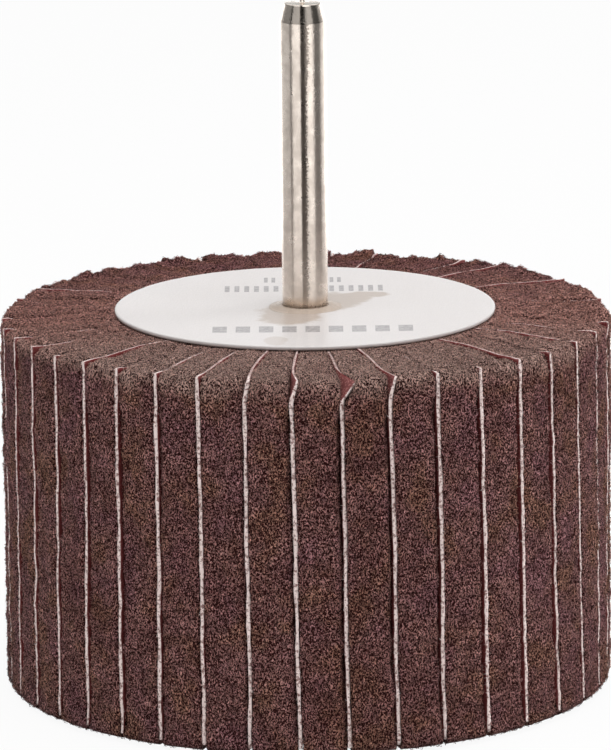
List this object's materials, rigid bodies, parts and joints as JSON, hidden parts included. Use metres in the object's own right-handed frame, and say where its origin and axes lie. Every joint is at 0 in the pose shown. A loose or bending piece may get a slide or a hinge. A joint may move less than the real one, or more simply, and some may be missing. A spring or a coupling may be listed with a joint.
{
  "type": "flap wheel",
  "caption": "Cylindrical flap wheel of abrasive cloth flaps interleaved with fleece pads, cast round a straight steel shank between two fibre discs.",
  "frame": {"origin": "on the wheel's axis, at the underside of the lower disc that it stands on", "axes": "+Z along the shank towards its tip, -Y towards the camera of the picture, +X to the picture's right"},
  "size_m": [0.08, 0.08, 0.0909],
  "materials": {
    "nickel_steel": "turned, nickel plated, slightly warm",
    "cast_resin": "cast epoxy, translucent tan",
    "fibre_disc": "pale vulcanised fibre, matte, with faded grey print shapes",
    "abrasive_cloth": "abrasive cloth, grit on the faces, pale cut edges",
    "fleece": "non-woven nylon fleece, open and fibrous"
  },
  "bodies": {
    "root": {"shank": "nickel_steel", "resin_core": "cast_resin", "upper_disc": "fibre_disc", "lower_disc": "fibre_disc", "cloth_flaps_01": "abrasive_cloth", "cloth_flaps_02": "abrasive_cloth", "cloth_flaps_03": "abrasive_cloth", "cloth_flaps_04": "abrasive_cloth", "cloth_flaps_05": "abrasive_cloth", "cloth_flaps_06": "abrasive_cloth", "cloth_flaps_07": "abrasive_cloth", "cloth_flaps_08": "abrasive_cloth", "cloth_flaps_09": "abrasive_cloth", "cloth_flaps_10": "abrasive_cloth", "fleece_pad_01": "fleece", "fleece_pad_02": "fleece", "fleece_pad_03": "fleece", "fleece_pad_04": "fleece", "fleece_pad_05": "fleece", "fleece_pad_06": "fleece", "fleece_pad_07": "fleece", "fleece_pad_08": "fleece", "fleece_pad_09": "fleece", "fleece_pad_10": "fleece", "fleece_pad_11": "fleece", "fleece_pad_12": "fleece", "fleece_pad_13": "fleece", "fleece_pad_14": "fleece", "fleece_pad_15": "fleece", "fleece_pad_16": "fleece", "fleece_pad_17": "fleece", "fleece_pad_18": "fleece", "fleece_pad_19": "fleece", "fleece_pad_20": "fleece", "fleece_pad_21": "fleece", "fleece_pad_22": "fleece", "fleece_pad_23": "fleece", "fleece_pad_24": "fleece", "fleece_pad_25": "fleece", "fleece_pad_26": "fleece", "fleece_pad_27": "fleece", "fleece_pad_28": "fleece", "fleece_pad_29": "fleece", "fleece_pad_30": "fleece", "fleece_pad_31": "fleece", "fleece_pad_32": "fleece", "fleece_pad_33": "fleece", "fleece_pad_34": "fleece", "fleece_pad_35": "fleece", "fleece_pad_36": "fleece", "fleece_pad_37": "fleece", "fleece_pad_38": "fleece", "fleece_pad_39": "fleece", "fleece_pad_40": "fleece"}
  },
  "joints": []
}
